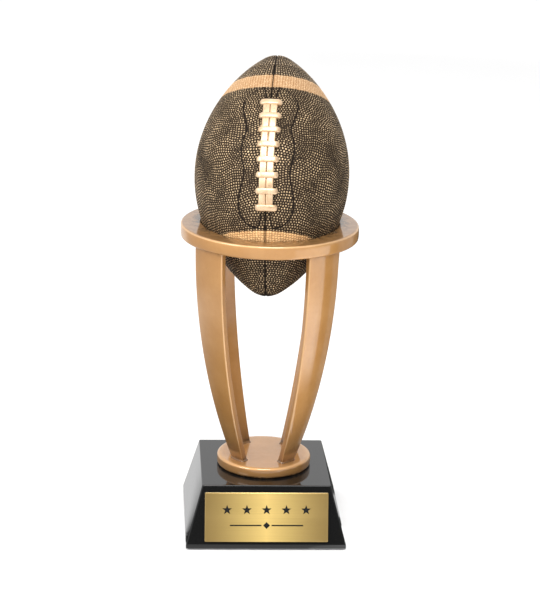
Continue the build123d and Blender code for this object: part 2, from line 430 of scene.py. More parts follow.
def antique_gold(tree):
    """Satin gold paint on resin, mottled and a little uneven, under a clear coat.

    The mesh's attributes add painted highlights on edges, painted shade, and patchy umber that is partly
    wash and partly painted shade.
    """
    mottle = span(tree, noise(tree, 55, 4), 0.35, 0.65)
    colour = mixed(tree, times(tree, mottle, 0.35), GOLD_BODY, GOLD_LIGHT)
    # Painted highlights on edges and on the legs' foot bead.
    colour = mixed(tree, attribute(tree, "edge"), colour, GOLD_PAINTED_HIGHLIGHT)
    # Painted shade.
    colour = mixed(tree, attribute(tree, "painted_shade"), colour, GOLD_PAINTED_SHADE)
    # Patchy umber: partly wash, partly painted shade.
    wash_and_shade_patches = times(tree, attribute(tree, "wash_and_shade"), span(tree, noise(tree, 190, 5, 0.65), 0.42, 0.56))
    colour = mixed(tree, wash_and_shade_patches, colour, GOLD_WASH_AND_SHADE)
    specks = span(tree, noise(tree, 1400, 2), 0.70, 0.78, 0.0, 0.35)
    colour = mixed(tree, specks, colour, GOLD_WASH_AND_SHADE)
    satin = span(tree, noise(tree, 320, 4), 0.3, 0.7, 0.60, 0.68)
    satin = plus(tree, satin, times(tree, wash_and_shade_patches, 0.25))
    ripples = plus(tree, times(tree, noise(tree, 42, 2), 9.0), times(tree, noise(tree, 90, 2), 3.0))
    runs = times(tree, noise(tree, 42, 2, stretch=(3, 3, 0.6)), 3.5)
    orange_peel = plus(tree, plus(tree, ripples, runs), noise(tree, 1900, 3))
    return surface(tree, colour, satin, orange_peel, 0.035)


BALL_GAP = (0.008, 0.005, 0.003)
BALL_SIDE = (0.040, 0.024, 0.011)
BALL_TOP = (0.98, 0.70, 0.40)
STRIPE_GAP = (0.36, 0.18, 0.068)
STRIPE_TOP = (1.0, 0.73, 0.45)
# Painted warm light on the lower stripe
STRIPE_TOP_PAINTED_WARM_LIGHT = (1.0, 0.66, 0.33)


def antique_ball(tree):
    """Dark umber resin with gold dry-brushed on its raised pebbles, and two gold stripes with painted light.
    """
    raised, tone_and_painted_light = attribute(tree, "raised"), attribute(tree, "tone_and_painted_light")
    patches = span(tree, noise(tree, 70, 4, 0.6), 0.3, 0.7, 0.68, 0.95)
    brushed = times(tree, span(tree, raised, 0.62, 0.94), times(tree, patches, tone_and_painted_light))
    leather_colour = mixed(tree, span(tree, raised, 0.0, 0.7), BALL_GAP, BALL_SIDE)
    leather_colour = mixed(tree, brushed, leather_colour, BALL_TOP)
    # Painted warm light on the lower stripe.
    stripe_top = mixed(tree, attribute(tree, "painted_warm_light"), STRIPE_TOP, STRIPE_TOP_PAINTED_WARM_LIGHT)
    # The stripes' tones include their painted light.
    gold = mixed(tree, times(tree, span(tree, raised, 0.1, 0.9), tone_and_painted_light), STRIPE_GAP, stripe_top)
    colour = mixed(tree, attribute(tree, "stripe"), leather_colour, gold)
    colour = mixed(tree, attribute(tree, "seam"), colour, BALL_GAP)
    dull = span(tree, raised, 0.4, 1.0, 0.85, 0.32)
    coat = span(tree, raised, 0.75, 1.0, 0.0, 0.4)
    return {**surface(tree, colour, dull, noise(tree, 2600, 3), 0.03), "Coat Weight": coat}


LACE_BODY = (0.66, 0.44, 0.25)
LACE_LIGHT = (0.80, 0.58, 0.37)
# Umber: partly wash, partly painted shade
LACE_WASH_AND_SHADE = (0.20, 0.11, 0.05)


def lace_gold(tree):
    """The lacing's paler gold, darkened low down and at pinches: partly wash, partly painted shade."""
    colour = mixed(tree, span(tree, noise(tree, 260, 4), 0.35, 0.65), LACE_BODY, LACE_LIGHT)
    # Umber low down and at pinches: partly wash, partly painted shade.
    colour = mixed(tree, times(tree, attribute(tree, "wash_and_shade"), 0.85), colour, LACE_WASH_AND_SHADE)
    satin = span(tree, noise(tree, 500, 3), 0.3, 0.7, 0.26, 0.40)
    grain = plus(tree, noise(tree, 300, 3), times(tree, noise(tree, 1500, 3), 0.3))
    return surface(tree, colour, satin, grain, 0.03)


def black_gloss(tree):
    """Polished black resin with faint wipe marks and a little dust."""
    dust = span(tree, noise(tree, 3000, 2), 0.74, 0.80, 0.0, 0.5)
    colour = mixed(tree, dust, (0.006, 0.006, 0.006), (0.05, 0.05, 0.05))
    wipes = span(tree, noise(tree, 160, 5, 0.6, (1, 0.15, 1)), 0.35, 0.75, 0.035, 0.09)
    return surface(tree, colour, wipes, noise(tree, 45, 2), 0.02)


# The plate's gold: its ends, a painted sheen for its middle, and scratches
PLATE_ENDS = (0.265, 0.178, 0.057)
PLATE_PAINTED_SHEEN = (0.86, 0.62, 0.205)
PLATE_SCRATCH = (0.25, 0.16, 0.05)


def plate_gold(tree):
    """Brushed gold laminate skin: fine level scratches, and a painted sheen that makes its middle paler."""
    across = add(tree, "SeparateXYZ", {"Vector": place(tree)}).outputs["X"]
    from_middle = add(tree, "Math", {0: across}, operation="ABSOLUTE").outputs[0]
    # Painted sheen: paler towards the middle.
    painted_sheen = span(tree, from_middle, 0.0, 0.040, 1.0, 0.0)
    painted_sheen = add(tree, "Math", {0: painted_sheen, 1: 1.35}, operation="POWER").outputs[0]
    scratches = noise(tree, 260, 5, 0.65, (0.06, 1, 22))
    colour = mixed(tree, painted_sheen, PLATE_ENDS, PLATE_PAINTED_SHEEN)
    colour = mixed(tree, span(tree, scratches, 0.35, 0.65, 0.0, 0.22), colour, PLATE_SCRATCH)
    satin = span(tree, scratches, 0.3, 0.7, 0.30, 0.42)
    return surface(tree, colour, satin, scratches, 0.006)


def plate_core(tree):
    """The laminate's black acrylic core."""
    colour = mixed(tree, noise(tree, 900, 3), (0.003, 0.003, 0.003), (0.006, 0.006, 0.006))
    satin = span(tree, noise(tree, 1200, 3), 0.3, 0.7, 0.40, 0.55)
    return surface(tree, colour, satin, noise(tree, 2500, 3), 0.01)


def tape_foam(tree):
    """White double-sided foam tape."""
    bubbles = cells(tree, 6000, "Distance")
    colour = mixed(tree, bubbles, (0.45, 0.44, 0.42), (0.70, 0.69, 0.66))
    dull = span(tree, bubbles, 0.0, 1.0, 0.7, 0.9)
    return surface(tree, colour, dull, bubbles, 0.03)


def felt_black(tree):
    """Black wool felt: matted fibres and a soft sheen."""
    lengthwise, crosswise = (noise(tree, 900, 8, 0.75, stretch) for stretch in ((1, 0.35, 1), (0.35, 1, 1)))
    matted = times(tree, lengthwise, crosswise)
    colour = mixed(tree, span(tree, matted, 0.15, 0.4), (0.010, 0.010, 0.011), (0.040, 0.040, 0.043))
    return surface(tree, colour, 0.95, matted, 0.25)


def ballast_plaster(tree):
    """Grey cast ballast with air bubbles."""
    pits = span(tree, cells(tree, 380, "Distance"), 0.08, 0.22)
    tint = mixed(tree, noise(tree, 90, 5), (0.34, 0.33, 0.31), (0.50, 0.49, 0.46))
    colour = mixed(tree, pits, (0.16, 0.155, 0.15), tint)
    dull = span(tree, noise(tree, 300, 3), 0.3, 0.7, 0.75, 0.92)
    rough = plus(tree, pits, times(tree, noise(tree, 700, 5), 0.5))
    return surface(tree, colour, dull, rough, 0.25)


def zinc_steel(tree):
    """Bright zinc plate on steel, with its crystal patches."""
    level = add(tree, "SeparateColor", {"Color": cells(tree, 700, "Color")}).outputs["Red"]
    colour = mixed(tree, level, (0.50, 0.52, 0.55), (0.66, 0.67, 0.69))
    satin = span(tree, level, 0.0, 1.0, 0.24, 0.40)
    return surface(tree, colour, satin, noise(tree, 1500, 3), 0.01)


def pale_floor(tree):
    """The studio's white paper, hardly mottled."""
    return {"Base Color": mixed(tree, noise(tree, 4, 3), (0.94, 0.94, 0.94), (0.96, 0.96, 0.96))}


GOLD = material(antique_gold, Metallic=0.85, Coat_Weight=1.0, Coat_IOR=1.7, Coat_Roughness=0.09)
BALL = material(antique_ball, Metallic=0.3, Specular_IOR_Level=0.3, Coat_Roughness=0.22)
LACE = material(lace_gold, Metallic=0.5, Coat_Weight=1.0, Coat_Roughness=0.28)
GLOSS = material(black_gloss, Specular_IOR_Level=0.5, Coat_Weight=0.0)
PLATE = material(plate_gold, Metallic=0.45, Anisotropic=0.4)
CORE = material(plate_core, Specular_IOR_Level=0.25)
TAPE = material(tape_foam)
FELT = material(felt_black, Sheen_Weight=0.35, Sheen_Roughness=0.4)
BALLAST = material(ballast_plaster)
ZINC = material(zinc_steel, Metallic=1.0)
FLOOR = material(pale_floor, Roughness=0.65, Specular_IOR_Level=0.2)

# ---- the figure's and the ball's frames


def turn_about(axis, degrees):
    """The matrix of a turn about the x or the z axis."""
    c, s = cos(radians(degrees)), sin(radians(degrees))
    rows = {"x": ((1, 0, 0), (0, c, -s), (0, s, c)), "z": ((c, -s, 0), (s, c, 0), (0, 0, 1))}
    return np.array(rows[axis])


def ball_radius_at(s, growth=0.0):
    """The ball's radius at s, for a ball grown by growth all over."""
    share = np.clip(np.asarray(s, float) / (BALL_REACH + growth), -1, 1)
    return (BALL_RADIUS + growth) * (1 - share**2) ** BALL_FULLNESS


def ball_slope_at(s):
    """How fast the ball's radius grows with s."""
    share = np.clip(np.asarray(s, float) / BALL_REACH, -0.9999, 0.9999)
    steepness = -2 * BALL_FULLNESS * BALL_RADIUS / BALL_REACH
    return steepness * share * (1 - share**2) ** (BALL_FULLNESS - 1)


def ball_rise():
    """How far the leaning ball's highest point stands above its centre."""
    s = np.linspace(0, BALL_REACH, 401)
    return (s * cos(radians(BALL_LEAN)) + ball_radius_at(s) * sin(radians(BALL_LEAN))).max()


ring_low, ring_high = mm_box("seat_ring")
disc_low, disc_high = mm_box("foot_disc")
ball_top = mm_box("ball_left_half")[1][2]
RING_TOP, RING_BOTTOM = ring_high[2], ring_low[2]
RING_RADIUS = (ring_high[0] - ring_low[0]) / 2
DISC_TOP, DISC_BOTTOM = disc_high[2], disc_low[2]
DISC_RADIUS = (disc_high[0] - disc_low[0]) / 2

FIGURE_AXES = turn_about("z", FIGURE_TURN)
BALL_AXES = FIGURE_AXES @ turn_about("x", -BALL_LEAN) @ turn_about("z", BALL_SPIN)
BALL_CENTRE = FIGURE_AXES @ np.array([0, BALL_SET_BACK, ball_top - ball_rise()])


def from_ball_axis(out, angle, up):
    """Points out from the ball's axis at an angle, and up along it from the ball's middle."""
    out, angle, up = np.broadcast_arrays(out, angle, up)
    local = np.stack([out * np.sin(angle), -out * np.cos(angle), up], -1)
    return local @ BALL_AXES.T + BALL_CENTRE


def ball_point(s, angle, height=0.0):
    """The points at s and angle at a height above the ball, whose tips are a little blunt."""
    radius, slope = ball_radius_at(s), ball_slope_at(s)
    length = np.sqrt(1 + slope**2)
    blunt = TIP_BLUNTING * smooth_step((np.abs(s) - BALL_REACH + TIP_LENGTH) / TIP_LENGTH)
    return from_ball_axis(radius + height / length, angle, s - height * slope / length - np.sign(s) * blunt)


# ---- the ball's leather and seams


def seam_depth(s, angle):
    """How deep in a seam each point of the ball lies, from 0 to 1."""
    radius = ball_radius_at(s)
    depth = np.zeros(len(s))
    for seam_angle in (0, pi / 2, pi):
        away = np.abs(np.abs(angle) - seam_angle) * radius
        depth = np.maximum(depth, 1 - smooth_step(away / LONG_SEAM_HALF_WIDTH))
    aside = np.abs(angle) * radius
    near = (aside < SEAM_REACH[0]) & (np.abs(s) < SEAM_REACH[1])
    flat = np.stack([aside[near], s[near]], 1)
    found = depth[near]
    for points, weight in SEAM_LINES:
        away = distance_to_line(flat, curve_through(points))
        found = np.maximum(found, weight * (1 - smooth_step(away / SEAM_HALF_WIDTH)))
    depth[near] = found
    return depth


def arc_stations(pitch):
    """Values of s from tip to tip, an even pitch apart along the ball's outline."""
    s = BALL_REACH * np.sin(np.linspace(-pi / 2, pi / 2, 6001))
    length = np.concatenate([[0], np.cumsum(np.hypot(np.diff(s), np.diff(ball_radius_at(s))))])
    return np.interp(np.linspace(0, length[-1], round(length[-1] / pitch) + 1), length, s)


def pebble_centres():
    """Where the pebbles sit, as (s, angle, the s of their row).

    Their rows are staggered and wavy, and straighter near the stripes. Over the top stripe they line up.
    """
    below, above = arc_stations(PEBBLE_ROW_PITCH), arc_stations(STREAK_ROW_PITCH)
    centres = []
    for k, s in enumerate([*below[below <= STREAK_START], *above[above > STREAK_START]]):
        in_streaks = s > STREAK_START
        pitch = STREAK_PITCH if in_streaks else PEBBLE_PITCH
        like = next((middle for end, middle in STREAK_BANDS if in_streaks and s < end), s)
        count = max(1, round(2 * pi * float(ball_radius_at(like)) / pitch))
        jitter = random.uniform(-PEBBLE_JITTER, PEBBLE_JITTER, (2, count))
        stagger = 0.0 if in_streaks else k % 2 / 2
        places = np.arange(count) + stagger + jitter[0] * (STREAK_JITTER if like != s else 1.0)
        angles = places / count * 2 * pi - pi
        calm = max(0.0, 1 - (s / STRIPE_START) ** 2)
        wave = sum(rise * np.sin(n * angles + s * per_mm + first) for rise, n, per_mm, first in ROW_WAVES)
        sway = PEBBLE_SWAY * np.sin(s / 7 + 3 * angles)
        row = np.full(count, s)
        s_places = row + jitter[1] * PEBBLE_ROW_PITCH + calm * wave
        centres.append(np.stack([s_places, angles + calm * sway, row], 1))
    return np.concatenate(centres)


pebbles = pebble_centres()
pebble_places = ball_point(pebbles[:, 0], pebbles[:, 1])
pebble_rows = pebbles[:, 2]
pebble_tones_and_painted_light = random.uniform(*PEBBLE_TONES, len(pebbles))
pebble_tones_and_painted_light[pebble_rows > STREAK_START] *= STREAK_TONE
in_stripe = (np.abs(pebble_rows) > STRIPE_START) & (np.abs(pebble_rows) < STRIPE_END)
# The stripes' pebbles get painted light on top of their own tones.
stripe_tones_and_painted_light = np.where(pebble_rows > 0, STRIPE_PAINTED_LIGHT["upper"], STRIPE_PAINTED_LIGHT["lower"])
stripe_tones_and_painted_light *= STRIPE_LEAST_TONE + (1 - STRIPE_LEAST_TONE) * pebble_tones_and_painted_light
pebble_tones_and_painted_light = np.where(in_stripe, stripe_tones_and_painted_light, pebble_tones_and_painted_light)
pebble_tree = kdtree.KDTree(len(pebbles))
for number, pebble_place in enumerate(pebble_places):
    pebble_tree.insert(pebble_place, number)
pebble_tree.balance()


def leather(s, angle):
    """How high from 0 to 1 each point of the ball lies on its pebble, and that pebble's number."""
    found = [pebble_tree.find_n(point, 2) for point in ball_point(s, angle)]
    first, second = np.array([[hit[1] for hit in hits] for hits in found]).T
    away_first, away_second = np.array([[hit[2] for hit in hits] for hits in found]).T
    apart = np.linalg.norm(pebble_places[first] - pebble_places[second], axis=1)
    to_edge = (away_second**2 - away_first**2) / (2 * apart)
    slope = np.where(s > STREAK_START, PEBBLE_SLOPE * STREAK_PITCH / PEBBLE_PITCH, PEBBLE_SLOPE)
    return np.sin(pi / 2 * np.clip(to_edge / slope, 0, 1)), first


def ball_half(side):
    """One of the ball's shells: a pebbled outside, a plain inside, and the flat face between them."""
    rows, s_rows, angle_rows, count = [], [], [], 0
    for s in arc_stations(MESH_PITCH):
        steps = max(1, round(pi * float(ball_radius_at(s)) / MESH_PITCH))
        at_tip = abs(s) > BALL_REACH - 1e-6
        angles = np.array([0.0]) if at_tip else np.linspace(0, pi, steps + 1)
        rows.append(np.arange(count, count + len(angles)))
        s_rows.append(np.full(len(angles), s))
        angle_rows.append(angles)
        count += len(angles)
    s, angle = np.concatenate(s_rows), side * np.concatenate(angle_rows)
    raised, nearest = leather(s, angle)
    seam = seam_depth(s, angle)
    raised = raised * (1 - seam) * smooth_step((BALL_REACH - np.abs(s)) / 2)
    outside = ball_point(s, angle, -PEBBLE_HEIGHT * (1 - raised) - SEAM_DEPTH * seam)

    inner_s = BALL_REACH * np.sin(np.linspace(-pi / 2, pi / 2, INNER_ROWS + 1))
    inner_up = inner_s * ((BALL_REACH - BALL_TIP_WALL) / BALL_REACH)
    inner_out = ball_radius_at(inner_s) * (BALL_RADIUS - BALL_WALL) / BALL_RADIUS
    inner_angles = side * np.linspace(0, pi, INNER_COLUMNS + 1)
    inside = from_ball_axis(inner_out[:, None], inner_angles, inner_up[:, None]).reshape(-1, 3)
    inner_rows = np.arange(len(inside)).reshape(INNER_ROWS + 1, -1) + count

    faces = [stitch(a, b) for a, b in zip(rows[:-1], rows[1:])]
    faces += [stitch(b, a) for a, b in zip(inner_rows[:-1], inner_rows[1:])]
    faces.append(stitch(np.array([row[0] for row in rows]), inner_rows[:, 0]))
    faces.append(stitch(inner_rows[:, -1], np.array([row[-1] for row in rows])))
    faces = np.concatenate(faces)
    faces = faces[(faces != np.roll(faces, 1, axis=1)).all(axis=1)]

    stripe = in_stripe[nearest].astype(float)
    # Painted warm light on the lower stripe.
    painted_warm_light = stripe * (pebble_rows[nearest] < 0)
    values = {"raised": raised, "tone_and_painted_light": pebble_tones_and_painted_light[nearest], "stripe": stripe, "painted_warm_light": painted_warm_light, "seam": seam}
    attributes = {key: np.concatenate([outer, np.zeros(len(inside))]) for key, outer in values.items()}
    name = "ball_left" if side < 0 else "ball_right"
    points = np.concatenate([outside, inside])
    piece(name, name + "_half", points, faces.tolist(), BALL, "figure", attributes, weld=True)


ball_half(-1)
ball_half(1)

# ---- lacing

bar_pitch = BAR_SPAN / (BAR_COUNT - 1)
bar_stations = [BAR_SPAN / 2 - k * bar_pitch for k in range(BAR_COUNT)]


def half_loop(half_width, height, squareness):
    """A rounded section as (across, above), from foot over the top to foot, with buried feet."""
    turns = np.linspace(0, pi, 21)
    across = half_width * np.sign(np.cos(turns)) * np.abs(np.cos(turns)) ** squareness
    above = height * np.abs(np.sin(turns)) ** squareness
    across = np.concatenate([[half_width], across, [-half_width]])
    return across, np.concatenate([[-LACE_ROOT], above, [-LACE_ROOT]])


def lace_piece(node, sections, wash_and_shade):
    """A strand or bar from its sections, darkened at their points by wash and painted shade."""
    faces = capped_grid(len(sections), len(sections[0]))
    attributes = {"wash_and_shade": np.clip(np.concatenate(wash_and_shade), 0, 1)}
    piece(node + "_gold", node, np.concatenate(sections), faces, LACE, "figure", attributes)


def lace_strand(side):
    """A strand of the lacing, which is pinched under the cross bars."""
    reach = BAR_SPAN / 2 + STRAND_OVERRUN
    middle = side * (STRAND_INNER + STRAND_OUTER) / 2
    sections, wash_and_shade = [], []
    for s in np.linspace(-reach, reach, STRAND_ROWS):
        swell = abs(sin(pi * (s - bar_stations[0]) / bar_pitch)) ** 0.6
        end = sqrt(max(0.0, 1 - max(0.0, (abs(s) - reach + STRAND_END) / STRAND_END) ** 2))
        width, height = (pinch + (1 - pinch) * swell for pinch in STRAND_PINCH.values())
        height *= STRAND_HEIGHT * max(end, 0.05)
        across, above = half_loop((STRAND_OUTER - STRAND_INNER) / 2 * width, height, STRAND_SQUARENESS)
        hollow = STRAND_HOLLOW * bell(across, 0, STRAND_HOLLOW_WIDTH) * (above > 0.5 * height)
        sections.append(ball_point(s, (middle + across) / ball_radius_at(s), above - hollow))
        # Darker low down and where the bars pinch it: partly wash, partly painted shade.
        wash_and_shade.append(np.clip(0.75 - above / height, 0, 1) + 0.3 * (1 - swell) ** 2)
    lace_piece("lace_strand_left" if side < 0 else "lace_strand_right", sections, wash_and_shade)


def lace_bar(number, s):
    """A cross bar that arches over both strands, with round ends that come down to the leather."""
    half, end_radius = BAR_LENGTH / 2, BAR_WIDTH / 2
    sections, wash_and_shade = [], []
    for lateral in half * np.sin(np.linspace(-pi / 2, pi / 2, BAR_ROWS)):
        past = np.clip((abs(lateral) - (half - end_radius)) / end_radius, 0, 0.995)
        width, height = (end + (1 - end) * sqrt(1 - past**2) for end in BAR_END.values())
        drop = float(smooth_step((abs(lateral) - STRAND_OUTER + BAR_DROP_START) / BAR_DROP_LENGTH))
        height *= BAR_HEIGHT * (1 - BAR_DROP * drop)
        along, above = half_loop(end_radius * width, height, BAR_SQUARENESS)
        sections.append(ball_point(s + along, (lateral + BAR_SHIFT) / ball_radius_at(s), above))
        # Darker low down: partly wash, partly painted shade.
        wash_and_shade.append(1.0 - above / height * 1.5)
    lace_piece(f"lace_bar_{number}", sections, wash_and_shade)


for lace_side in (-1, 1):
    lace_strand(lace_side)
for bar_number, bar_station in enumerate(bar_stations, 1):
    lace_bar(bar_number, bar_station)

# ---- ring, legs and disc


def seat_radius(turns, height):
    """How far from the upright axis the ball's surface lies at each turn and a height, by halving."""
    inside, outside = np.zeros(len(turns)), np.full(len(turns), RING_RADIUS)
    for _ in range(40):
        radius = (inside + outside) / 2
        local = (polar(radius, turns, height) - BALL_CENTRE) @ BALL_AXES
        within = np.hypot(local[:, 0], local[:, 1]) < ball_radius_at(local[:, 2], GLUE_GAP)
        inside, outside = np.where(within, radius, inside), np.where(within, outside, radius)
    return outside


def build_ring():
    """The ring: a rim that bulges a little, rounded edges, flat faces, and a seat that follows the ball."""
    turns = np.linspace(0, 2 * pi, RING_STEPS, endpoint=False)
    edge, flat_radius = RING_EDGE_RADIUS, RING_RADIUS - RING_EDGE_RADIUS
    rim = arc((flat_radius, RING_BOTTOM + edge), edge, -90, 0, 6)
    rim += [(RING_RADIUS, height) for height in np.linspace(RING_BOTTOM + edge, RING_TOP - edge, 9)[1:-1]]
    rim += arc((flat_radius, RING_TOP - edge), edge, 0, 90, 6)
    middle, half = (RING_TOP + RING_BOTTOM) / 2, (RING_TOP - RING_BOTTOM) / 2
    columns = [(np.full(RING_STEPS, r - RING_BULGE * ((z - middle) / half) ** 2), z) for r, z in rim]
    seat_top = RING_TOP - SEAT_DROP
    top_seat = seat_radius(turns, seat_top)
    for share in np.linspace(0, 1, 15)[1:]:
        columns.append((flat_radius * (1 - share) + top_seat * share, RING_TOP if share < 1 else seat_top))
    for height in np.linspace(seat_top, RING_BOTTOM, 9)[1:]:
        columns.append((seat_radius(turns, height), height))
    for _ in range(3):
        columns.append(((columns[-1][0] + flat_radius) / 2, RING_BOTTOM))
    radius = np.stack([column[0] for column in columns], 1)
    height = np.array([column[1] for column in columns])
    points = polar(radius, turns[:, None], height)

    on_top = height > RING_TOP - 0.5
    near_seat = np.clip(1 - (radius - top_seat[:, None]) / SEAT_WASH_AND_SHADE_WIDTH, 0, 1)
    painted_highlight_band = (np.abs(radius - (RING_RADIUS - 0.35)) < 0.36) & (height > RING_TOP - 0.9)
    # Painted highlight along the rim's top edge. On the top: painted shade on the flat, and umber that is
    # partly wash and partly painted shade, thickest by the seat.
    attributes = {
        "wash_and_shade": (on_top * (0.16 + 0.8 * near_seat**1.2)).ravel(),
        "edge": 0.5 * painted_highlight_band.ravel(),
        "painted_shade": 0.45 * (on_top & (radius < flat_radius + 0.1)).ravel(),
    }
    faces = grid_faces(RING_STEPS, len(columns), close_rows=True, close_columns=True)
    piece("ring_gold", "seat_ring", points.reshape(-1, 3), faces, GOLD, "figure", attributes)


def leg_radius_at(height, depth=0.0):
    """The leg's distance from the upright axis at a height and a depth under its outer face."""
    bow = LEG_BOW_RADIUS - depth
    return LEG_TOP_RADIUS - LEG_BOW_RADIUS + sqrt(bow**2 - (RING_BOTTOM - height) ** 2)


def leg_loop(half_width, inner, outer, swell):
    """A leg's level section, grown by swell, as (across, radius), and a 1 for each point on its corners."""
    corner = LEG_EDGE_RADIUS
    wide, near, far = half_width - corner, inner + corner, outer - corner
    turning = np.array([(wide, far), (-wide, far), (-wide, near), (wide, near)])
    facings = np.array([(0, 1), (-1, 0), (0, -1), (1, 0)])
    spots, on_corner = [], []
    ends, followings = np.roll(turning, -1, 0), np.roll(facings, -1, 0)
    for steps, start, facing, end, following in zip(LEG_SIDE_STEPS, turning, facings, ends, followings):
        spots += [start + (end - start) * n / steps + facing * (corner + swell) for n in range(steps + 1)]
        for t in (pi / 8, pi / 4, 3 * pi / 8):
            spots.append(end + (facing * cos(t) + following * sin(t)) * (corner + swell))
        on_corner += [0.0] * (steps + 1) + [1.0] * 3
    return np.array(spots), np.array(on_corner)


def build_leg(corner_name, azimuth):
    """A bowed leg, with a small flare and bead round its foot."""
    foot, head = DISC_TOP - LEG_BURY, RING_BOTTOM + LEG_BURY
    length = head - foot
    rise = [*np.linspace(0, FOOT_HEIGHT, 17)[:-1], *np.linspace(FOOT_HEIGHT, length - 1.5, LEG_ROWS), length]
    points, painted_highlights, wash_and_shade, painted_shade = [], [], [], []
    for height in foot + np.array(rise):
        above = max(0.0, height - DISC_TOP)
        outer, inner = (leg_radius_at(min(height, RING_BOTTOM), depth) for depth in (0.0, LEG_THICKNESS))
        flare = FOOT_FLARE - sqrt(max(0.0, FOOT_FLARE**2 - max(0.0, FOOT_FLARE - above) ** 2))
        swell = min(flare, FOOT_FLARE_LIMIT) + BEAD_SIZE * bell(above, BEAD_HEIGHT, BEAD_SPREAD)
        spots, on_corner = leg_loop(radians(LEG_ARC / 2) * outer, inner, outer, swell)
        points.append(polar(spots[:, 1], radians(azimuth + FIGURE_TURN) + spots[:, 0] / outer, height))
        # Painted highlights on the corners and the foot bead; umber in the foot's crease and under the ring
        # that is partly wash and partly painted shade; painted shade that grows towards the foot.
        painted_highlights.append(np.clip(on_corner * 0.45 + 0.5 * bell(above, BEAD_HEIGHT, 0.4), 0, 1))
        wash_and_shade.append(np.full(len(spots), 0.5 * bell(above, 1.8, 0.9) + 0.4 * bell(height, head, 1.5)))
        painted_shade.append(np.full(len(spots), LEG_PAINTED_SHADE * np.exp(-above / LEG_PAINTED_SHADE_HEIGHT)))
    attributes = {"edge": np.concatenate(painted_highlights), "wash_and_shade": np.concatenate(wash_and_shade), "painted_shade": np.concatenate(painted_shade)}
    faces = capped_grid(len(points), len(points[0]))
    name, points = f"leg_{corner_name}", np.concatenate(points)
    piece(name + "_gold", name, points, faces, GOLD, "figure", attributes, weld=True)


def build_disc():
    """The foot disc, with rounded edges and the hole that the stud is bonded in."""
    edge, flat_radius = DISC_EDGE_RADIUS, DISC_RADIUS - DISC_EDGE_RADIUS
    low, high = mm_box("threaded_rod")
    hole_top, hole_radius = high[2] + THREAD_GAP, (high[0] - low[0]) / 2 + THREAD_GAP
    profile = [(0, hole_top), (hole_radius, hole_top), (hole_radius, DISC_BOTTOM)]
    profile += arc((flat_radius, DISC_BOTTOM + edge), edge, -90, 0, 8)
    profile += arc((flat_radius, DISC_TOP - edge), edge, 0, 90, 9)
    profile += [(flat_radius * (1 - k / 12), DISC_TOP) for k in range(1, 13)]
    radius, height = np.array(profile).T
    turns = np.linspace(0, 2 * pi, DISC_STEPS, endpoint=False)
    # Painted highlight on the top edge, painted shade on the rim's side, and umber under the rim as painted
    # shade.
    values = {
        "edge": 0.2 * ((radius > flat_radius - 0.1) & (height > DISC_TOP - edge * 0.5)),
        "wash_and_shade": 0.8 * (height < DISC_BOTTOM + 1.2),
        "painted_shade": 0.35 * (height < DISC_TOP - edge * 0.7),
    }
    attributes = {key: np.tile(column, len(turns)) for key, column in values.items()}
    points = polar(radius, turns[:, None], height).reshape(-1, 3)
    faces = grid_faces(len(turns), len(profile), close_rows=True)
    piece("disc_gold", "foot_disc", points, faces, GOLD, "figure", attributes, weld=True)


build_ring()
for leg_name, leg_azimuth in LEG_AZIMUTHS.items():
    build_leg(leg_name, leg_azimuth)
build_disc()

# ---- hardware and base


def build_stud():
    """The threaded stud, with a real thread that starts at a tapered end."""
    low, high = mm_box("threaded_rod")
    radius, length = (high[0] - low[0]) / 2, high[2] - low[2]
    heights = np.linspace(low[2], high[2], round(length / THREAD_PITCH * 12) + 1)[:, None]
    turns = np.linspace(0, 2 * pi, THREAD_STEPS, endpoint=False)
    phase = (heights / THREAD_PITCH - turns / (2 * pi)) % 1.0
    depth = THREAD_DEPTH * np.clip(1.25 - np.abs(4 * phase - 2), 0, 1)
    taper = np.clip(THREAD_TAPER - (heights - low[2]), 0, THREAD_TAPER)
    points = polar(np.minimum(radius - depth, radius - taper), turns, heights).reshape(-1, 3)
    faces = capped_grid(len(heights), len(turns))
    piece("stud_thread", "threaded_rod", points, faces, ZINC, "figure")


def build_felt():
    """The felt pad: a cut sheet whose faces and edges are a little uneven."""
    low, high = mm_box("felt_pad")
    steps = FELT_STEPS
    x, y = np.meshgrid(*(np.linspace(low[k], high[k], steps) for k in (0, 1)), indexing="ij")
    border = (x == low[0]) | (x == high[0]) | (y == low[1]) | (y == high[1])
    layers = []
    for height, inset, rise in zip((low[2], high[2]), (FELT_CUT_SLANT, 0), FELT_FACE_FUZZ):
        fuzz = random.uniform(-1, 1, (3, steps, steps))
        shift = np.where(border, inset + FELT_INSET + FELT_CUT_FUZZ * fuzz[0], 0.0)
        lifted = height + rise * np.abs(fuzz[2])
        layer = np.stack([x * (1 - shift / high[0]), y * (1 - shift / high[1]), lifted], -1)
        layers.append(layer.reshape(-1, 3))
    count = steps * steps
    faces = grid_faces(steps, steps)
    faces += [tuple(v + count for v in face)[::-1] for face in faces]
    numbers = np.arange(count).reshape(steps, steps)
    ring = [*numbers[:-1, 0], *numbers[-1, :-1], *numbers[:0:-1, -1], *numbers[0, :0:-1]]
    for a, b in zip(ring, ring[1:] + ring[:1]):
        faces.append((a, b, b + count, a + count))
    felt = piece("felt_sheet", "felt_pad", np.concatenate(layers), faces, FELT, "base")


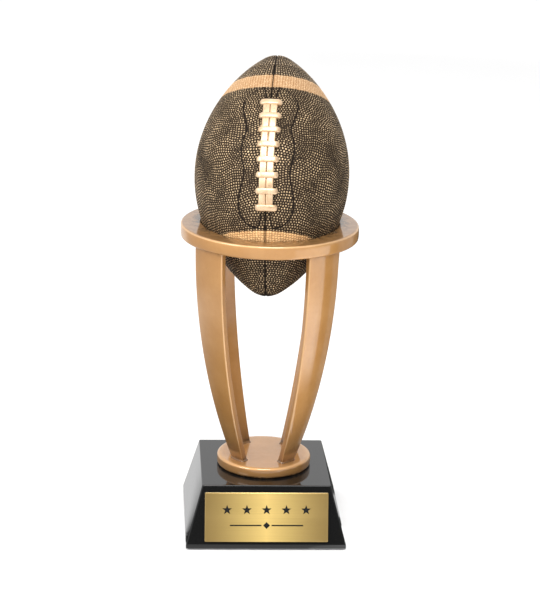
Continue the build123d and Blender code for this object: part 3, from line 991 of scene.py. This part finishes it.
def engravings():
    """The outlines cut through the plate's skin: a row of stars over a rule with a diamond in its middle."""
    points = [(STAR_INNER_RADIUS if k % 2 else STAR_RADIUS, k * pi / 5) for k in range(10)]
    middles = [(k - (STAR_COUNT - 1) / 2) * STAR_PITCH for k in range(STAR_COUNT)]
    cuts = [[(x + out * sin(turn), STAR_ROW + out * cos(turn)) for out, turn in points] for x in middles]
    tips = ((1, 0), (0, 1), (-1, 0), (0, -1))
    cuts.append([(DIAMOND_RADIUS * x, RULE_ROW + DIAMOND_RADIUS * y) for x, y in tips])
    for side in (-1, 1):
        middle = side * (DIAMOND_GAP + RULE_LENGTH / 2)
        cuts.append([(middle + x * RULE_LENGTH / 2, RULE_ROW + y * RULE_WIDTH / 2) for x, y in CORNERS])
    return cuts


def rounded_rectangle(width, height, corner, beside=0.0):
    """A rectangle's outline with round corners, and with a point past each of their ends if beside is set."""
    loop = []
    for k, (x, y) in enumerate(CORNERS):
        bend = arc((x * (width / 2 - corner), y * (height / 2 - corner)), corner, 90 * k, 90 * k + 90, 6)
        if beside:
            (first_x, first_y), (last_x, last_y) = bend[0], bend[-1]
            c, s = round(cos(k * pi / 2)) * beside, round(sin(k * pi / 2)) * beside
            bend = [(first_x + s, first_y - c), *bend, (last_x - c, last_y - s)]
        loop += bend
    return loop


def build_nameplate():
    """The nameplate's skin, with a bevelled border and the engraving cut through it."""
    low, high = mm_box("nameplate_face")
    mount = next(m for m in frame["record"]["mounts"] if m["name"] == "nameplate_front")
    middle, facing = np.array(mount["pos_m"]) / MM, np.array(mount["axis"])
    across = np.array([1.0, 0, 0])
    up = np.cross(facing, across)
    width = high[0] - low[0]
    height = ((high - low)[2] - PLATE_SKIN * abs(facing[2])) / abs(up[2])
    cuts = engravings()
    rim = rounded_rectangle(width, height, PLATE_CORNER)
    crown = rounded_rectangle(width - 2 * PLATE_BEVEL, height - 2 * PLATE_BEVEL, PLATE_CORNER / 2)
    points, faces = [], []

    def add_loop(outline, depth):
        """Adds an outline at a depth under the plate's front, and gives its points' numbers."""
        points.extend([middle + x * across + y * up - depth * facing for x, y in outline])
        return list(range(len(points) - len(outline), len(points)))

    def add_walls(loop_a, loop_b):
        """Adds the quads between two loops of as many points."""
        faces.extend(zip(loop_a, loop_a[1:] + loop_a[:1], loop_b[1:] + loop_b[:1], loop_b))

    def add_cover(outline, loops):
        """Covers an outline with triangles, apart from the cuts."""
        flat = [[Vector((x, y, 0)) for x, y in line] for line in [outline, *cuts]]
        numbers = sum(loops, [])
        faces.extend(tuple(numbers[v] for v in triangle) for triangle in tessellate_polygon(flat))

    front = [add_loop(outline, 0.0) for outline in [crown, *cuts]]
    shoulder = add_loop(rim, PLATE_BEVEL_DROP)
    back = [add_loop(outline, PLATE_SKIN) for outline in [rim, *cuts]]
    add_cover(crown, front)
    add_walls(front[0], shoulder)
    add_walls(shoulder, back[0])
    for front_cut, back_cut in zip(front[1:], back[1:]):
        add_walls(front_cut, back_cut)
    add_cover(rim, back)
    piece("nameplate_skin", "nameplate_face", points, faces, PLATE, "base", smooth=False)


def shell_loop(half, height):
    """A level section of the base, with points beside its round corners that keep its sides flat."""
    return [(x, y, height) for x, y in rounded_rectangle(2 * half, 2 * half, SHELL_CORNER, SHELL_EDGE)]


def build_shell():
    """The base's hollow shell: a plinth and four slopes with soft edges, and a hole on top."""
    low, high = mm_box("base_shell")
    bottom, top, foot = low[2], high[2], high[0]
    crown, edge = SHELL_TOP_WIDTH / 2, SHELL_EDGE
    slope_start = bottom + PLINTH_HEIGHT
    run, rise = foot - crown, top - slope_start
    tilt = np.degrees(np.arctan2(rise, run))
    flat_half = crown - edge * tan(radians(tilt / 2))
    profile = [(foot - SHELL_WALL, bottom), (foot - edge, bottom)]
    profile += [(foot, bottom + edge), (foot, slope_start - edge)]
    profile += [(foot - run * share, slope_start + rise * share) for share in SHELL_SLOPE_SHARES]
    profile += arc((flat_half, top - edge), edge, 90 - tilt, 90, 5)
    profile += [(flat_half - edge, top)]
    loops = [shell_loop(half, height) for half, height in profile]
    count = len(loops[0])
    around = np.linspace(0, 2 * pi, count, endpoint=False) - pi / count
    ceiling = top - SHELL_WALL
    for margin, height in ((edge, top), (0, top), (0, ceiling), (edge, ceiling)):
        loops.append(polar(SHELL_HOLE + margin, around, height))
    loops.append(shell_loop(crown - SHELL_LEVEL_WALL + run / rise * SHELL_WALL, ceiling))
    points = np.concatenate([np.array(loop) for loop in loops])
    faces = grid_faces(len(loops), count, close_rows=True, close_columns=True)
    piece("base_shell_gloss", "base_shell", points, faces, GLOSS, "base")


build_stud()
build_felt()
build_shell()
build_nameplate()
# CAD nodes that keep their shapes
KEPT_NODES = {
    "washer": ZINC, "hex_nut": ZINC, "base_weight": BALLAST, "nameplate_tape": TAPE, "nameplate_core": CORE
}
for kept_node, kept_material in KEPT_NODES.items():
    slots = frame["nodes"][kept_node].data.materials
    slots.clear()
    slots.append(kept_material)

# ---- floor, light and camera, in metres and degrees

FLOOR_RADIUS = 60.0
ROOM_LIGHT = 1.05
# The dim flags in the sky: turn from the right, rise, and cosines at the outer and inner edges
FLAGS = ((-86.5, 13.6, 0.945, 0.975), (-9, 12, 0.87, 0.94))
FLAG_LEVEL = 0.10
# The sheet that gloss mirrors in place of the floor: a painted reflection, whose dark patches are painted
# shade near the base and whose bright ones are painted light. A patch starts from a point, and has a range of
# turns from the right, the softness of its sides, a range of distances, the softness of its ends, and a
# level.
GLOW_HEIGHT = 0.0005
GLOW_REACH = (0.04, 4.0)
GLOW_LEVEL = 1.05
GLOW_PATCHES = [
    ((-0.051, -0.037), (103, 215), 8, (0.0, 0.08), 0.30, 0.03),
    ((0, 0), (145, 225), 15, (0.5, 3.0), 0.15, 0.6),
    ((0, 0), (-60, -13), 1.5, (0.13, 1.2), 0.06, 1.8),
    ((0, 0), (-60, -20), 4, (0.13, 0.32), 0.12, 2.7),
    ((0, 0), (-11, 40), 2, (0.0, 1.6), 0.1, 0.5),
    ((0, 0), (42, 84), 5, (0.0, 1.6), 0.1, 0.05),
    ((0, 0), (-10, 2), 3, (0.0, 1.6), 0.1, 0.04),
    ((0.056, 0), (-60, 10), 12, (0.0, 0.08), 0.10, 0.03),
]
# Each softbox: name, position, target, size, power and colour
SOFTBOXES = [
    ("front_strip", (-0.02, -0.96, 1.37), (0, 0, 0.22), (0.7, 1.3), 17, (1, 1, 1)),
    ("key", (-1.0, -0.7, 0.9), (0, 0, 0.16), (0.6, 0.6), 8, (1.0, 0.98, 0.95)),
]
CAMERA_PLACE = (-0.08373, -1.36040, 0.57201)
CAMERA_TURNS = {"heading": 3.583, "pitch": 17.296, "roll": 1.554}
CAMERA_LENS = 133.13
CAMERA_SENSOR = 36.0
CAMERA_FAR = 200.0


def build_floor():
    """A plain pale floor."""
    points = [(x * FLOOR_RADIUS, y * FLOOR_RADIUS, 0) for x, y in CORNERS]
    placed("floor", new_mesh("floor", points, [(2, 3, 0, 1)], FLOOR))


def direction_of(turn, rise):
    """The unit vector that points turn degrees from the right, and rise degrees up."""
    turn, rise = radians(turn), radians(rise)
    return (cos(turn) * cos(rise), sin(turn) * cos(rise), sin(rise))


def build_sky():
    """A bright room, with dim flags for the base's front and the legs' inner faces to mirror."""
    world = bpy.data.worlds.new("studio")
    bpy.context.scene.world = world
    tree = bare_tree(world)
    looking = add(tree, "TexCoord").outputs["Generated"]
    brightness = ROOM_LIGHT
    for turn, rise, outer, inner in FLAGS:
        inputs = {0: direction_of(turn, rise), 1: looking}
        towards = add(tree, "VectorMath", inputs, operation="DOT_PRODUCT").outputs["Value"]
        inputs = {0: span(tree, towards, outer, inner), 2: brightness, 3: FLAG_LEVEL}
        brightness = add(tree, "Mix", inputs).outputs[0]
    seen = add(tree, "LightPath").outputs["Is Camera Ray"]
    strength = add(tree, "Mix", {0: seen, 2: brightness, 3: 1.0}).outputs[0]
    background = add(tree, "Background", {"Color": (1, 1, 1, 1), "Strength": strength})
    add(tree, "OutputWorld", {"Surface": background.outputs[0]})


def aimed(name, data, position, forward, roll=0.0):
    """A light or a camera at a position that looks forward."""
    made = placed(name, data)
    made.location = position
    made.rotation_mode = "QUATERNION"
    made.rotation_quaternion = forward.to_track_quat("-Z", "Y") @ Quaternion((0, 0, 1), radians(roll))
    return made


def softbox(name, position, target, size, power, colour):
    """A rectangular light that doesn't show to the camera."""
    light = bpy.data.lights.new(name, "AREA")
    light.shape = "RECTANGLE"
    light.size, light.size_y = size
    light.energy = power
    light.color = colour
    aimed(name, light, position, Vector(target) - Vector(position)).visible_camera = False


def glow_at(x, y):
    """How bright the sheet is at a place on it."""
    level = np.full(len(x), GLOW_LEVEL)
    for start, (low, high), turn_edge, (near, far), edge, patch_level in GLOW_PATCHES:
        across, along = x - start[0], y - start[1]
        distance, turn = np.hypot(across, along), np.degrees(np.arctan2(along, across))
        off_middle = np.abs((turn - (low + high) / 2 + 180) % 360 - 180)
        share = 1 - smooth_step((off_middle - (high - low) / 2) / turn_edge)
        share = share * smooth_step((distance - near) / edge + 1)
        share = share * (1 - smooth_step((distance - far) / edge))
        level = level + (patch_level - level) * share
    return level


def build_painted_reflection_sheet():
    """The studio's cards: a sheet on the floor that shows in gloss alone, a painted reflection of light and
    shade.
    """
    distances, turns = np.geomspace(*GLOW_REACH, 160), np.radians(np.arange(0, 360, 0.5))
    points = polar(distances[:, None], turns, GLOW_HEIGHT).reshape(-1, 3)
    cards = bpy.data.materials.new("painted_reflection_sheet")
    cards.cycles.emission_sampling = "NONE"
    tree = bare_tree(cards)
    light = add(tree, "Emission", {"Strength": attribute(tree, "glow")})
    add(tree, "OutputMaterial", {"Surface": light.outputs[0]})
    faces = grid_faces(len(distances), len(turns), close_columns=True)
    mesh = new_mesh("painted_reflection_sheet", points.tolist(), faces, cards)
    # The painted reflection's levels: light, and dark patches of shade near the base.
    add_attribute(mesh, "glow", glow_at(points[:, 0], points[:, 1]))
    sheet = placed("painted_reflection_sheet", mesh)
    for kind in ("camera", "diffuse", "shadow", "transmission"):
        setattr(sheet, "visible_" + kind, False)


def build_camera():
    """A long lens from left of the front, looking down."""
    camera = bpy.data.cameras.new("camera")
    camera.sensor_width = CAMERA_SENSOR
    camera.lens = CAMERA_LENS
    camera.clip_end = CAMERA_FAR
    heading, pitch, roll = CAMERA_TURNS.values()
    forward = Vector(direction_of(90 - heading, -pitch))
    bpy.context.scene.camera = aimed("camera", camera, CAMERA_PLACE, forward, roll)


build_floor()
build_sky()
for softbox_values in SOFTBOXES:
    softbox(*softbox_values)
build_painted_reflection_sheet()
build_camera()

bpy.context.scene.view_settings.view_transform = "Standard"
